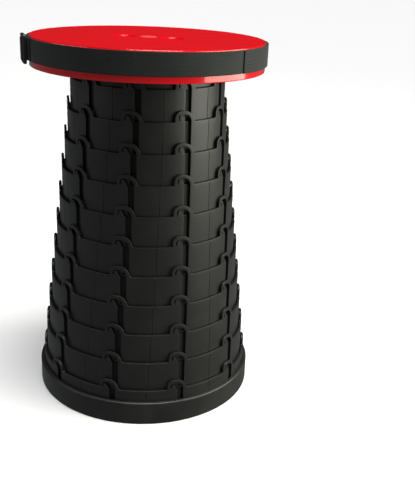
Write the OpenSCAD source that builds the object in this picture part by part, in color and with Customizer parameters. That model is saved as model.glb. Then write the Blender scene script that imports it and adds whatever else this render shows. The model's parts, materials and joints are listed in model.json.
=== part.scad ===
// Telescopic camp stool: twelve nested rings between a base skirt and a round seat cap.
// Origin: centre of the footprint on the ground. +Z up, -Y is the front. Millimetres.
// The model stands extended, as it is sat on. Every ring slides straight down into the next.

/* [Seat cap] */
// Diameter of the seat cap
seat_d = 250; // [205:1:320]
// Height of the seat cap from its lower edge to its top
cap_h = 30.5; // [25:0.5:45]
// Thickness of the cap's top plate
cap_plate_t = 3; // [2.2:0.1:5]
// Thickness of the cap's rim wall
cap_wall_t = 2.5; // [1.8:0.1:4]
// Radius of the cap's rounded top edge
cap_edge_r = 1.5; // [0.5:0.1:2]
// Diameter of each finger hole
finger_d = 20; // [16:0.5:26]
// Diameter of the countersunk lip round a finger hole
finger_lip_d = 26; // [24:0.5:34]
// Distance between the centres of the finger holes
finger_gap = 52; // [48:1:70]
// Turn of the line of finger holes about the seat's centre
finger_turn = -8; // [-45:1:45]
// Diameter of the blank disc between the finger holes
disc_d = 18; // [12:0.5:20]

/* [Rings] */
// Number of telescopic rings
ring_count = 12; // [5:1:14]
// Height that each ring adds when it is pulled out
ring_step = 31.9; // [26:0.1:42]
// Overlap of two neighbouring rings when pulled out
ring_overlap = 5.4; // [4.6:0.1:9]
// Wall thickness of a ring
ring_wall_t = 2.3; // [1.9:0.1:3.2]
// Radial gap between two neighbouring rings
ring_gap = 1.4; // [1.1:0.1:2.4]
// Radial gap between the cap's rim and the outermost ring that it drops over
lip_gap = 2; // [1:0.1:5]
// Turn of each ring against the one inside it
ring_twist = -1; // [-2:0.1:2]
// Angle of the front slot column on the second ring
column_start = -2; // [-18:0.5:18]
// Number of slot columns round a ring
column_count = 10; // [6:1:12]

/* [Ears and slots] */
// Height of an ear above the ring's top edge
ear_h = 11; // [9.5:0.1:14]
// Width of the band of material round the slot inside an ear
ear_band = 3.6; // [2.6:0.1:4.5]
// Radius of an ear's left corner
ear_corner_r = 7; // [5:0.1:7.4]
// Width of the upright slot
slot_w = 6.8; // [5.4:0.1:8.2]
// Inner radius of the bend that leads the slot over the tooth
hook_r = 7.8; // [5:0.1:8]
// Width of the tooth beside the slot, at its root
tooth_w = 6.8; // [5.6:0.1:8.5]
// Width of the slit left of the tooth
slit_w = 1; // [0.6:0.1:1.6]
// Height of the tooth's tip above the ring's top edge
tooth_h = 6.2; // [5:0.1:6.6]
// Thickness of the web that closes a slot at the back
web_t = 0.8; // [0.5:0.05:0.9]

/* [Guides] */
// Depth of a guide groove in a ring's inner wall
groove_t = 0.8; // [0.6:0.05:1]
// Width of a guide lug at the foot of a ring
lug_w = 7; // [5:0.1:8]
// Height of a guide lug
lug_h = 4.4; // [3:0.1:4.5]
// Running clearance round a guide lug
lug_clear = 0.35; // [0.3:0.05:0.5]

/* [Base] */
// Height of the base skirt
base_h = 26; // [20:0.5:32]
// Step from the outermost ring out to the face of the base skirt
base_step = 4.5; // [3.6:0.1:8]
// Wall thickness of the base skirt
base_wall_t = 2.2; // [1.6:0.1:2.6]
// Thickness of the base skirt's bottom flange
base_flange_t = 2; // [1.5:0.1:3]
// Height of the rings' lower edges above the ground when they are pushed in
floor_gap = 1.2; // [1:0.1:3]
// Number of foot pads
pad_count = 10; // [5:1:12]
// Thickness of a foot pad
pad_t = 1.2; // [1:0.1:2]
// Arc that a foot pad covers
pad_arc = 16; // [8:1:24]

/* [Strap] */
// Width of the webbing
strap_w = 22.5; // [18:0.5:24]
// Thickness of the webbing
strap_t = 1.2; // [1:0.1:2]
// Distance from the cap's top to the webbing's upper edge
strap_drop = 1.4; // [1:0.1:3]
// Place of the strap slider round the rim, from the front
slider_at = -70; // [-120:1:-40]
// Place of the loose end of the webbing round the rim, from the front
strap_end_at = 52; // [20:1:100]
// Width of the strap slider along the rim
slider_w = 23; // [20:0.5:26]
// Thickness of the strap slider's frame
slider_t = 3.4; // [2:0.1:3.5]
// Width of each bar of the slider at its two ends
slider_end = 2.8; // [2:0.1:4]
// Half width of the slider's centre bar
slider_bar = 2.4; // [1.8:0.1:2.6]
// Outer edge of the slider's windows from its centre
slider_window = 7.8; // [7.6:0.1:8.2]
// Gap between the slider and the loose webbing under it
slider_lift = 1.4; // [0.4:0.1:1.6]

/* [Seat screws] */
// Number of screws that hold the top ring to the cap
screw_count = 6; // [3:1:8]
// Diameter of a screw's shank
screw_d = 3.4; // [2.8:0.1:4]
// Diameter of a screw's head
screw_head_d = 7; // [6:0.1:8]
// Height of a screw's head
screw_head_h = 1.8; // [1.4:0.1:2.5]
// Length of a screw under its head
screw_len = 9.5; // [8:0.5:10.5]
// Thickness of the top ring's screw flange
flange_t = 3; // [2:0.1:4]
// Height of the screw bosses under the cap's plate
boss_h = 8; // [7.5:0.5:12]
// Diameter of a screw boss
boss_d = 9; // [8:0.1:11]

/* [Hidden] */
function ring_name(k) = str("ring_", k < 10 ? "0" : "", k);
RINGS = [for (k = [1:ring_count]) ring_name(k)];

$fn = 96;
cap_r = seat_d / 2;
lip_r = cap_r - cap_wall_t;
ring_pitch = ring_wall_t + ring_gap;
outer_r = lip_r - lip_gap;
outer_top = floor_gap + ring_overlap + ring_step;
ring_h = ring_step + ring_overlap;
ear_clear = 1;
lip_z = outer_top + (ring_count - 2) * ring_step + ear_h + ear_clear;
seat_z = lip_z + cap_h;
plate_z = seat_z - cap_plate_t;
column_angle = 360 / column_count;
fit = 0.05;
cut = 1;

pocket_left = -(slot_w / 2 + tooth_w + slit_w);
ear_left = pocket_left - ear_band;
arch_top = ear_h - ear_band;
hook_x = slot_w / 2 - hook_r;
hook_y = arch_top - hook_r;
pocket_r = ear_corner_r - ear_band;
pocket_foot = 1.5;
fillet_r = 2.5;
fillet_lift = 0.15;
arc_steps = 6;
slot_foot = -ring_step - 0.3;
web_w = slot_w + 1.8;
web_seat = 0.15;
lug_at = -(slot_w / 2 + tooth_w / 2 + slit_w);

base_r = outer_r + base_step;
base_inner_r = base_r - base_wall_t;
base_flange_r = outer_r - ring_wall_t + groove_t + lug_clear;
base_foot = 0.4;
base_chamfer = 0.8;
base_flange_z = pad_t + base_flange_t;
base_shoulder = 2.2;
pad_edge = 0.4;

disc_recess = 1.2;
disc_t = 1;
disc_gap = 0.3;
disc_sink = 0.2;
rib_h = 7;
rib_t = 1.8;
rib_ring_r = 44;
collar_t = 2;
collar_h = 9;
dish_t = 1.6;

strap_gap = 0.1;
strap_z = seat_z - strap_drop - strap_w;
strap_r = cap_r + strap_gap;
strap_arc_step = 2;
layer_low = strap_gap + strap_t + strap_gap + strap_t / 2;
slider_floor = layer_low + strap_t / 2 + slider_lift;
layer_high = slider_floor + slider_t + 0.3 + strap_t / 2;
ramp_start = slider_bar + 0.2;
ramp_end = slider_window - 0.2;
tail_tuck = 14;
slider_h = strap_w + 1 + 2 * slider_end;

top_ring_r = outer_r - (ring_count - 1) * ring_pitch;
screw_r = top_ring_r - ring_wall_t - boss_d / 2 - 2.5;
flange_in_r = screw_r - boss_d / 2 - 1.5;
flange_z = plate_z - boss_h - flange_t;

function ring_r(k) = outer_r - (ring_count - k) * ring_pitch;
function ring_top(k) = outer_top + (ring_count - k) * ring_step;
function ring_foot(k) = k == ring_count ? base_flange_z + fit : ring_top(k) - ring_h;
function column_turn(k) = column_start + (k - 2) * ring_twist;

// Places its children at the front of the stool, then turns them to an angle from the front
module at_angle(a) {
    rotate([0, 0, a]) children();
}

// Repeats its children at every slot column of ring k
module at_columns(k) {
    for (n = [0:column_count - 1]) at_angle(column_turn(k) + n * column_angle) children();
}

// Pushes a flat outline, drawn as it is seen from outside, through the wall from r0 out to r1
module through_wall(r0, r1, z) {
    translate([0, 0, z]) rotate([90, 0, 0]) translate([0, 0, r0]) linear_extrude(r1 - r0) children();
}

module tube(r_out, r_in, h) {
    difference() {
        cylinder(r = r_out, h = h, $fn = 180);
        translate([0, 0, -cut]) cylinder(r = r_in, h = h + 2 * cut, $fn = 180);
    }
}

// Points of an arc about [x, y] from angle a0 to a1
function arc(x, y, r, a0, a1) = [for (i = [0:arc_steps]) let (a = a0 + (a1 - a0) * i / arc_steps)
    [x + r * cos(a), y + r * sin(a)]];

// Outline of an ear: x from the slot's centre line, y from the ring's top edge
module ear_outline() {
    outer = hook_r + ear_band;
    fillet_y = fillet_r + fillet_lift;
    fillet_x = hook_x + sqrt(pow(outer + fillet_r, 2) - pow(fillet_y - hook_y, 2));
    meet = atan2(fillet_y - hook_y, fillet_x - hook_x);
    polygon(concat(
        [[ear_left, -cut]],
        arc(ear_left + ear_corner_r, ear_h - ear_corner_r, ear_corner_r, 180, 90),
        arc(hook_x, hook_y, outer, 90, meet),
        arc(fillet_x, fillet_y, fillet_r, 180 + meet, 270),
        [[fillet_x, -cut]]
    ));
}

// Outline of the upright slot with its hook over the tooth
module slot_outline() {
    tooth_left = pocket_left + slit_w;
    tip = tooth_left + 0.3 * tooth_w;
    polygon(concat(
        [[-slot_w / 2, slot_foot], [slot_w / 2, slot_foot]],
        arc(hook_x, hook_y, hook_r, 0, 90),
        arc(pocket_left + pocket_r, arch_top - pocket_r, pocket_r, 90, 180),
        [[pocket_left, pocket_foot],
         [tooth_left, pocket_foot],
         [tooth_left + 0.06 * tooth_w, 0.65 * tooth_h],
         [tip - 0.5, tooth_h - 0.3],
         [tip, tooth_h],
         [tip + 0.4, tooth_h - 0.3],
         [-slot_w / 2, -0.3 * tooth_h]]
    ));
}

// Strip behind each slot of ring k, which keeps light and dirt out of the tower
module slot_webs(k) {
    r_in = ring_r(k) - ring_wall_t;
    at_columns(k) translate([-web_w / 2, -r_in - web_seat, ring_top(k) + slot_foot - cut])
        cube([web_w, web_seat + web_t, -slot_foot + cut - ear_clear]);
}

// Wall of ring k with its ears, slots and inner guide grooves
module slotted_wall(k) {
    r = ring_r(k);
    top = ring_top(k);
    foot = ring_foot(k);
    difference() {
        intersection() {
            translate([0, 0, foot]) tube(r, r - ring_wall_t, top - foot + ear_h + cut);
            union() {
                translate([0, 0, foot - cut]) cylinder(r = r + cut, h = top - foot + cut);
                at_columns(k) through_wall(r - 2 * ring_wall_t, r + 2 * cut, top) ear_outline();
            }
        }
        at_columns(k) {
            through_wall(r - 2 * ring_wall_t, r + 2 * cut, top) slot_outline();
            guide_groove(r - ring_wall_t, foot, top);
        }
    }
}

// Space that a guide lug of the next ring in runs in, closed at its upper end
module guide_groove(r_in, foot, top) {
    groove_w = lug_w + 2 * lug_clear;
    groove_top = top - ring_overlap + lug_h + 2 * lug_clear;
    translate([lug_at - groove_w / 2, -r_in - groove_t, foot - cut])
        cube([groove_w, groove_t + ring_wall_t, groove_top - foot + cut]);
}

// Guide lugs at the foot of ring k, which run in the grooves of ring k + 1
module guide_lugs(k) {
    r = ring_r(k);
    reach = ring_gap + groove_t - lug_clear;
    at_columns(k + 1)
        translate([lug_at - lug_w / 2, -r - reach, ring_foot(k)])
            cube([lug_w, reach + ring_wall_t / 2, lug_h]);
}

module ring(k) {
    color("#262927")
    if (k == 1) top_ring();
    else {
        slotted_wall(k);
        slot_webs(k);
        if (k < ring_count) guide_lugs(k);
    }
}

// Innermost ring: a plain wall with a flange that is screwed up to the cap
module top_ring() {
    foot = ring_foot(1);
    difference() {
        union() {
            translate([0, 0, foot]) tube(top_ring_r, top_ring_r - ring_wall_t, plate_z - fit - foot);
            translate([0, 0, flange_z]) tube(top_ring_r - ring_wall_t / 2, flange_in_r, flange_t);
        }
        at_screws() translate([0, 0, flange_z - cut]) cylinder(d = screw_d + 0.4, h = flange_t + 2 * cut);
    }
    guide_lugs(1);
}

module at_screws() {
    for (n = [0:screw_count - 1]) at_angle((n + 0.5) * 360 / screw_count)
        translate([0, -screw_r, 0]) children();
}

module seat_screws() {
    slot_t = 0.9;
    color("silver") at_screws() difference() {
        union() {
            translate([0, 0, flange_z - screw_head_h]) cylinder(d = screw_head_d, h = screw_head_h);
            translate([0, 0, flange_z - fit]) cylinder(d = screw_d, h = screw_len);
        }
        for (a = [0, 90]) rotate([0, 0, a])
            translate([-2, -slot_t / 2, flange_z - screw_head_h - cut]) cube([4, slot_t, cut + 1]);
    }
}

module finger_places() {
    rotate([0, 0, finger_turn]) for (s = [-1, 1]) translate([s * finger_gap / 2, 0, 0]) children();
}

// Half section of the cap's shell
module cap_section() {
    translate([0, cap_h - cap_plate_t]) square([cap_r - cap_edge_r, cap_plate_t]);
    translate([lip_r, 0]) square([cap_wall_t, cap_h - cap_edge_r]);
    translate([cap_r - cap_edge_r, cap_h - cap_edge_r]) circle(r = cap_edge_r, $fn = 48);
    translate([lip_r - cap_edge_r, cap_h - cap_plate_t]) square([cap_wall_t, cap_plate_t - cap_edge_r]);
}

module seat_cap() {
    color("#c8101c") difference() {
        union() {
            translate([0, 0, lip_z]) rotate_extrude($fn = 180) cap_section();
            translate([0, 0, plate_z - rib_h]) tube(rib_ring_r + rib_t / 2, rib_ring_r - rib_t / 2, rib_h + cut);
            for (n = [0:screw_count - 1]) at_angle(n * 360 / screw_count)
                translate([-rib_t / 2, -flange_in_r + 1, plate_z - rib_h])
                    cube([rib_t, flange_in_r - 1 - rib_ring_r, rib_h + cut]);
            at_screws() translate([0, 0, flange_z + flange_t]) cylinder(d = boss_d, h = boss_h + cut);
            finger_places() translate([0, 0, plate_z - collar_h])
                cylinder(d = finger_d + 2 * collar_t, h = collar_h + cut);
        }
        finger_places() {
            translate([0, 0, plate_z - collar_h - cut]) cylinder(d = finger_d, h = collar_h + cap_plate_t + 2 * cut);
            translate([0, 0, seat_z - dish_t]) cylinder(d1 = finger_d, d2 = finger_lip_d, h = dish_t);
            translate([0, 0, seat_z]) cylinder(d = finger_lip_d, h = cut);
        }
        at_screws() translate([0, 0, flange_z + flange_t - cut])
            cylinder(d = screw_d + 2 * fit, h = screw_len - flange_t + cut + 0.5);
        translate([0, 0, seat_z - disc_recess]) cylinder(d = disc_d + 2 * disc_gap, h = disc_recess + cut);
    }
}

module centre_disc() {
    color("#d4202c") translate([0, 0, seat_z - disc_recess]) {
        cylinder(d = disc_d - 1, h = disc_t);
        cylinder(d = disc_d, h = disc_t - disc_sink);
    }
}

module base_skirt() {
    color("#242725") rotate_extrude($fn = 180) polygon([
        [base_flange_r, pad_t],
        [base_inner_r - fit, pad_t],
        [base_inner_r - fit, base_foot],
        [base_r - base_chamfer, base_foot],
        [base_r, base_foot + base_chamfer],
        [base_r, base_h - base_shoulder],
        [base_r - 0.3, base_h - 0.5 * base_shoulder],
        [base_r - 1, base_h - 0.2 * base_shoulder],
        [base_r - base_shoulder, base_h],
        [outer_r + 0.2, base_h],
        [outer_r + 0.2, base_h - base_shoulder],
        [base_inner_r, base_h - 2 * base_shoulder],
        [base_inner_r, base_flange_z],
        [base_flange_r, base_flange_z]
    ]);
}

module foot_pads() {
    color("#181818") for (n = [0:pad_count - 1]) rotate([0, 0, n * 360 / pad_count])
        rotate_extrude(angle = pad_arc)
            translate([base_flange_r + pad_edge, 0])
                square([base_inner_r - base_flange_r - 2 * pad_edge - fit, pad_t]);
}

module strap_band() {
    color("#2c2f2e") translate([0, 0, strap_z]) tube(strap_r + strap_t, strap_r, strap_w);
}

function smooth(t) = let (c = max(0, min(1, t))) c * c * (3 - 2 * c);

// Height of the loose layer's middle above the rim, at a distance along the rim from the slider
function layer_at(u) = layer_low
    + (layer_high - layer_low) * smooth((ramp_end - abs(u)) / (ramp_end - ramp_start));

// Point of the loose layer at angle a from the slider, side * half a thickness off its middle.
// A negative angle goes towards the back of the stool.
function layer_point(a, side) =
    let (u = a * PI / 180 * cap_r,
         slope = (layer_at(u + 0.05) - layer_at(u - 0.05)) / 0.1,
         turn = atan(slope),
         w = layer_at(u) + side * strap_t / 2 * cos(turn),
         b = slider_at + a - side * strap_t / 2 * sin(turn) / cap_r * 180 / PI)
    [(cap_r + w) * sin(b), -(cap_r + w) * cos(b)];

module strap_tail() {
    tuck = tail_tuck / cap_r * 180 / PI;
    bend = (slider_window + 2) / cap_r * 180 / PI;
    long_way = slider_at + 360 - strap_end_at;
    angles = concat([for (a = [-long_way:strap_arc_step:-bend - strap_arc_step / 2]) a],
                    [for (i = [0:48]) -bend + 2 * bend * i / 48], [tuck]);
    outer = [for (a = angles) layer_point(a, 1)];
    inner = [for (i = [len(angles) - 1:-1:0]) layer_point(angles[i], -1)];
    color("#303332") translate([0, 0, strap_z]) linear_extrude(strap_w) polygon(concat(outer, inner));
}

module rounded_frame(w, h, r) {
    for (x = [-1, 1], y = [-1, 1]) translate([x * (w / 2 - r), y * (h / 2 - r)]) circle(r = r, $fn = 32);
    square([w, h - 2 * r], center = true);
    square([w - 2 * r, h], center = true);
}

module strap_slider() {
    window_w = slider_window - slider_bar;
    color("#1e201f") at_angle(slider_at)
        through_wall(cap_r + slider_floor, cap_r + slider_floor + slider_t, strap_z + strap_w / 2)
            difference() {
                rounded_frame(slider_w, slider_h, 2);
                for (s = [-1, 1]) translate([s * (slider_bar + window_w / 2), 0])
                    square([window_w, strap_w + 1], center = true);
            }
}

base_skirt();
foot_pads();
for (k = [1:ring_count]) ring(k);
seat_screws();
seat_cap();
centre_disc();
strap_band();
strap_tail();
strap_slider();
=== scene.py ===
"""Looks of the telescopic camp stool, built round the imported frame.

The stool stands pulled out. Sizes are in metres. Places come from the frame's own boxes, and every
moulded, woven or turned piece is a class that holds its sizes, builds its mesh and dresses it.
"""

from __future__ import annotations

import json
import logging
import math
from dataclasses import dataclass, field
from enum import Enum
from typing import Any, Callable, Iterable, Sequence

import bmesh
import bpy
from mathutils import Matrix, Vector
from mathutils.geometry import delaunay_2d_cdt


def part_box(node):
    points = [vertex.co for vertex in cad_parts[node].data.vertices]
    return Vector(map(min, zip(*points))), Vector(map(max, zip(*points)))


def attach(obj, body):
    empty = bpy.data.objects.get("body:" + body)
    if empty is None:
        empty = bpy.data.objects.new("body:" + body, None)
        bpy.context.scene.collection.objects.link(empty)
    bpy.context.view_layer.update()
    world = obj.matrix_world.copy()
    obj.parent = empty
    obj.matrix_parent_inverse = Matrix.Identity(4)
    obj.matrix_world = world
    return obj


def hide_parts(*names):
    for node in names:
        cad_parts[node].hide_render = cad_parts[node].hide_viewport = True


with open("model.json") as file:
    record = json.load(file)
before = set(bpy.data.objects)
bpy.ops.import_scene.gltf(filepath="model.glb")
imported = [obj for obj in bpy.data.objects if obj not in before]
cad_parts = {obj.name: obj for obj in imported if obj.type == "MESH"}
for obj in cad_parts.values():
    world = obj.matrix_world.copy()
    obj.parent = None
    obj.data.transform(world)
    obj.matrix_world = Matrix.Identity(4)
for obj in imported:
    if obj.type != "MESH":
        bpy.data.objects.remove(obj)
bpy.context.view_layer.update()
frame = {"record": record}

MM = 0.001
LOG = logging.getLogger("stool")
Point = tuple[float, float]
Colour = tuple[float, float, float]
Loop = tuple[list[int], list[Point]]
Value = Any


# ---------------------------------------------------------------- shader arithmetic


class Signal:
    """A number in a shader. Arithmetic on it adds Math nodes."""

    def __init__(self, shader: "Shader", socket: bpy.types.NodeSocket) -> None:
        """Wraps one output socket."""
        self.shader = shader
        self.socket = socket

    def math(self, operation: str, *others: Value, swap: bool = False, clamp: bool = False) -> "Signal":
        """Adds one Math node.

        Args:
            operation: the Math node's operation.
            others: its other operands.
            swap: whether this signal is the second operand.
            clamp: whether the result is held between 0 and 1.

        Returns:
            The node's result.
        """
        operands = [*others, self] if swap else [self, *others]
        settings = {"operation": operation, "use_clamp": clamp}
        node = self.shader.node("ShaderNodeMath", settings, dict(enumerate(operands)))
        return Signal(self.shader, node.outputs[0])

    def __add__(self, other: Value) -> "Signal":
        """Sum."""
        return self.math("ADD", other)

    __radd__ = __add__

    def __sub__(self, other: Value) -> "Signal":
        """Difference."""
        return self.math("SUBTRACT", other)

    def __rsub__(self, other: Value) -> "Signal":
        """Difference, from a plain number."""
        return self.math("SUBTRACT", other, swap=True)

    def __mul__(self, other: Value) -> "Signal":
        """Product."""
        return self.math("MULTIPLY", other)

    __rmul__ = __mul__

    def __pow__(self, other: Value) -> "Signal":
        """Power."""
        return self.math("POWER", other)

    def sine(self) -> "Signal":
        """Sine."""
        return self.math("SINE")

    def held(self) -> "Signal":
        """Value held between 0 and 1."""
        return self.math("ADD", 0.0, clamp=True)

    def above(self, start: float, end: float) -> "Signal":
        """Smooth step from 0 at start to 1 at end.

        Args:
            start: value at which the step starts.
            end: value at which it is complete.

        Returns:
            A signal between 0 and 1.
        """
        node = self.shader.node(
            "ShaderNodeMapRange",
            {"interpolation_type": "SMOOTHSTEP"},
            {"Value": self, "From Min": start, "From Max": end},
        )
        return Signal(self.shader, node.outputs["Result"])


class Shader:
    """A material under construction, with one Principled shader."""

    def __init__(self, name: str) -> None:
        """Starts an empty material of that name."""
        self.material = bpy.data.materials.new(name)
        self.material.use_nodes = True
        self.tree = self.material.node_tree
        self.tree.nodes.clear()
        self.output = self.node("ShaderNodeOutputMaterial", {}, {})
        self.surface = self.node("ShaderNodeBsdfPrincipled", {}, {})
        self.join(self.surface.outputs[0], self.output.inputs["Surface"])

    def node(self, kind: str, settings: dict[str, Value], sockets: dict[Any, Value]) -> bpy.types.Node:
        """Adds a node.

        Args:
            kind: the node's type.
            settings: its properties, set first.
            sockets: the values or links of its inputs, by name or number.

        Returns:
            The node.
        """
        made = self.tree.nodes.new(kind)
        for key, value in settings.items():
            setattr(made, key, value)
        for key, value in sockets.items():
            self.join(value, made.inputs[key])
        return made

    def join(self, value: Value, socket: bpy.types.NodeSocket) -> None:
        """Gives an input a link or a value.

        Args:
            value: a Signal, an output socket, a number, a colour or a vector.
            socket: the input.
        """
        if isinstance(value, Signal):
            value = value.socket
        if isinstance(value, bpy.types.NodeSocket):
            self.tree.links.new(value, socket)
        elif isinstance(value, (tuple, list)) and len(value) == 3 and socket.type == "RGBA":
            socket.default_value = (*value, 1.0)
        else:
            socket.default_value = value

    def set(self, **sockets: Value) -> None:
        """Sets the Principled shader's inputs; an underscore in a name stands for a space."""
        for key, value in sockets.items():
            self.join(value, self.surface.inputs[key.replace("_", " ")])

    def place(self) -> bpy.types.NodeSocket:
        """Object coordinates."""
        return self.node("ShaderNodeTexCoord", {}, {}).outputs["Object"]

    def axes(self, vector: bpy.types.NodeSocket) -> tuple[Signal, Signal, Signal]:
        """The three parts of a vector."""
        split = self.node("ShaderNodeSeparateXYZ", {}, {0: vector})
        return tuple(Signal(self, out) for out in split.outputs)

    def stretched(self, vector: bpy.types.NodeSocket, scale: Sequence[float]) -> bpy.types.NodeSocket:
        """A vector scaled along each axis."""
        return self.node("ShaderNodeMapping", {}, {"Vector": vector, "Scale": tuple(scale)}).outputs[0]

    def noise(self, vector: bpy.types.NodeSocket, scale: float, detail: float = 2.0) -> Signal:
        """Noise between 0 and 1.

        Args:
            vector: where it is read.
            scale: lumps per metre.
            detail: octaves.

        Returns:
            The noise.
        """
        made = self.node("ShaderNodeTexNoise", {}, {"Vector": vector, "Scale": scale, "Detail": detail})
        return Signal(self, made.outputs["Fac"])

    def attribute(self, name: str) -> Signal:
        """A number stored on the mesh."""
        made = self.node("ShaderNodeAttribute", {"attribute_name": name}, {})
        return Signal(self, made.outputs["Fac"])

    def uv(self) -> bpy.types.NodeSocket:
        """The piece's own UV map."""
        return self.node("ShaderNodeUVMap", {"uv_map": UV_NAME}, {}).outputs[0]

    def blend(self, share: Value, low: Value, high: Value) -> bpy.types.NodeSocket:
        """Mixes two colours.

        Args:
            share: 0 gives low and 1 gives high.
            low: first colour.
            high: second colour.

        Returns:
            The colour.
        """
        made = self.tree.nodes.new("ShaderNodeMix")
        made.data_type = "RGBA"
        self.join(share, made.inputs["Factor"])
        self.join(low, made.inputs[6])
        self.join(high, made.inputs[7])
        return made.outputs[2]

    def bump(self, height: Value, depth: float, strength: float = 1.0) -> None:
        """Adds a bump to the surface, over any that is there.

        Args:
            height: relief between 0 and 1.
            depth: depth of the relief.
            strength: how much of it shows.
        """
        normal = self.surface.inputs["Normal"]
        sockets = {"Height": height, "Distance": depth, "Strength": strength}
        if normal.is_linked:
            sockets["Normal"] = normal.links[0].from_socket
        self.join(self.node("ShaderNodeBump", {}, sockets).outputs[0], normal)


class Slot(Enum):
    """The record's material slots."""

    CAP = "cap_plastic"
    RING = "ring_plastic"
    SKIRT = "skirt_plastic"
    PAD = "pad_rubber"
    WEBBING = "webbing"
    SLIDER = "slider_plastic"
    SCREW = "screw_steel"


CORNER = 0.29
UV_NAME = "run"
# Vertex number for painted shade: the ring plastic is darkened towards near-black in the slots, 1 on the slot
# walls and on the web behind them.
PAINTED_SHADE = "painted_shade"


# ---------------------------------------------------------------- finishes


@dataclass(frozen=True)
class MouldedPlastic:
    """Satin black nylon straight from the mould, with fine grain and slide marks, and painted shade,
    near-black, where the mesh marks a slot.
    """

    name: str
    base: Colour = (0.013, 0.0137, 0.0125)
    worn: Colour = (0.024, 0.025, 0.022)
    # Colour of the painted shade in the slots.
    painted_slot_shade: Colour = (0.0012, 0.0012, 0.0011)
    roughness: float = 0.42
    grain: float = 1400.0
    grain_depth: float = 0.00006
    slide_marks: bool = True

    def material(self) -> bpy.types.Material:
        """Builds the material."""
        shader = Shader(self.name)
        place = shader.place()
        cloud = shader.noise(place, 28.0, 3.0)
        grain = shader.noise(place, self.grain, 2.0)
        # Painted shade: the colour goes towards near-black where the mesh marks a slot.
        painted_slot_shade = shader.attribute(PAINTED_SHADE).held()
        wear = cloud.above(0.45, 0.75)
        if self.slide_marks:
            streak = shader.noise(shader.stretched(place, (420.0, 420.0, 9.0)), 1.0, 2.0).above(0.6, 0.78)
            wear = (wear * 0.5 + streak * 0.35).held()
        colour = shader.blend(wear, self.base, self.worn)
        shader.set(
            Base_Color=shader.blend(painted_slot_shade, colour, self.painted_slot_shade),
            Roughness=(cloud * 0.10 + grain * 0.06 + (self.roughness - 0.08) + painted_slot_shade * 0.3).held(),
            Specular_IOR_Level=0.5,
        )
        shader.bump(grain, self.grain_depth, 0.5)
        return shader.material


@dataclass(frozen=True)
class GlossCap:
    """Glossy red polypropylene: a worn seat with flow marks and hairline scratches, and a polished side."""

    name: str
    base: Colour = (0.80, 0.001, 0.008)
    deep: Colour = (0.68, 0.001, 0.006)
    roughness: float = 0.24
    polish: float = 1.0
    rim_r: float = 1.0
    band_start: float = 1.5 * MM
    band_end: float = 0.7 * MM

    def material(self) -> bpy.types.Material:
        """Builds the material."""
        shader = Shader(self.name)
        place = shader.place()
        flow = shader.noise(place, 9.0, 3.0)
        peel = shader.noise(place, 260.0, 1.0)
        hair = shader.noise(shader.stretched(place, (30.0, 900.0, 400.0)), 1.0, 2.0).above(0.64, 0.72)
        x, y, _ = shader.axes(place)
        side = ((x * x + y * y) ** 0.5).above(self.rim_r - self.band_start, self.rim_r - self.band_end)
        shader.set(
            Base_Color=shader.blend(flow, self.deep, self.base),
            Roughness=(hair * 0.06 + flow * 0.06 + self.roughness).held(),
            Specular_IOR_Level=0.15,
            Coat_Weight=side * self.polish,
            Coat_Roughness=0.1,
        )
        shader.bump(peel, 0.00003, 0.12)
        return shader.material


@dataclass(frozen=True)
class Webbing:
    """Flat woven strap: ribs along it and weft across it."""

    name: str
    yarn: Colour = (0.010, 0.011, 0.0105)
    light: Colour = (0.030, 0.034, 0.032)
    rib_pitch: float = 1.5 * MM
    weft_pitch: float = 1.0 * MM

    def material(self) -> bpy.types.Material:
        """Builds the material on the piece's own UV map, in metres."""
        shader = Shader(self.name)
        along, across, _ = shader.axes(shader.uv())
        rib = (across * (2 * math.pi / self.rib_pitch)).sine()
        weft = (along * (2 * math.pi / self.weft_pitch) + rib * 1.4).sine()
        weave = (rib * 0.25 + weft * 0.25 + 0.5).held()
        fuzz = shader.noise(shader.place(), 900.0, 3.0)
        faded = shader.noise(shader.place(), 22.0, 2.0).above(0.4, 0.75)
        shader.set(
            Base_Color=shader.blend((weave * 0.6 + faded * 0.3 + fuzz * 0.1).held(), self.yarn, self.light),
            Roughness=(fuzz * 0.15 + 0.72).held(),
            Sheen_Weight=0.08,
            Sheen_Roughness=0.5,
            Specular_IOR_Level=0.25,
        )
        shader.bump(weave, 0.00018, 0.8)
        shader.bump(fuzz, 0.00006, 0.5)
        return shader.material


@dataclass(frozen=True)
class SoftRubber:
    """Dull rubber of the foot pads."""

    name: str
    base: Colour = (0.012, 0.012, 0.012)

    def material(self) -> bpy.types.Material:
        """Builds the material."""
        shader = Shader(self.name)
        dust = shader.noise(shader.place(), 120.0, 4.0)
        shader.set(
            Base_Color=shader.blend(dust.above(0.5, 0.8) * 0.5, self.base, (0.06, 0.058, 0.052)),
            Roughness=(dust * 0.15 + 0.75).held(),
        )
        shader.bump(dust, 0.0001, 0.5)
        return shader.material


@dataclass(frozen=True)
class ZincSteel:
    """Bright zinc-plated screw steel."""

    name: str
    base: Colour = (0.62, 0.62, 0.60)

    def material(self) -> bpy.types.Material:
        """Builds the material."""
        shader = Shader(self.name)
        mottle = shader.noise(shader.place(), 700.0, 3.0)
        shader.set(
            Base_Color=shader.blend(mottle, self.base, (0.45, 0.45, 0.44)),
            Metallic=1.0,
            Roughness=(mottle * 0.2 + 0.25).held(),
        )
        return shader.material


# ---------------------------------------------------------------- mesh tools


def arc(centre: Point, radius: float, start: float, end: float, steps: int) -> list[Point]:
    """Points of an arc.

    Args:
        centre: its centre.
        radius: its radius.
        start: first angle in degrees.
        end: last angle in degrees.
        steps: number of chords.

    Returns:
        steps + 1 points.
    """
    angles = [math.radians(start + (end - start) * i / steps) for i in range(steps + 1)]
    return [(centre[0] + radius * math.cos(a), centre[1] + radius * math.sin(a)) for a in angles]


def polar(radius: float, degrees: float) -> Point:
    """Flat place at an angle from +X."""
    return radius * math.cos(math.radians(degrees)), radius * math.sin(math.radians(degrees))


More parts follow.
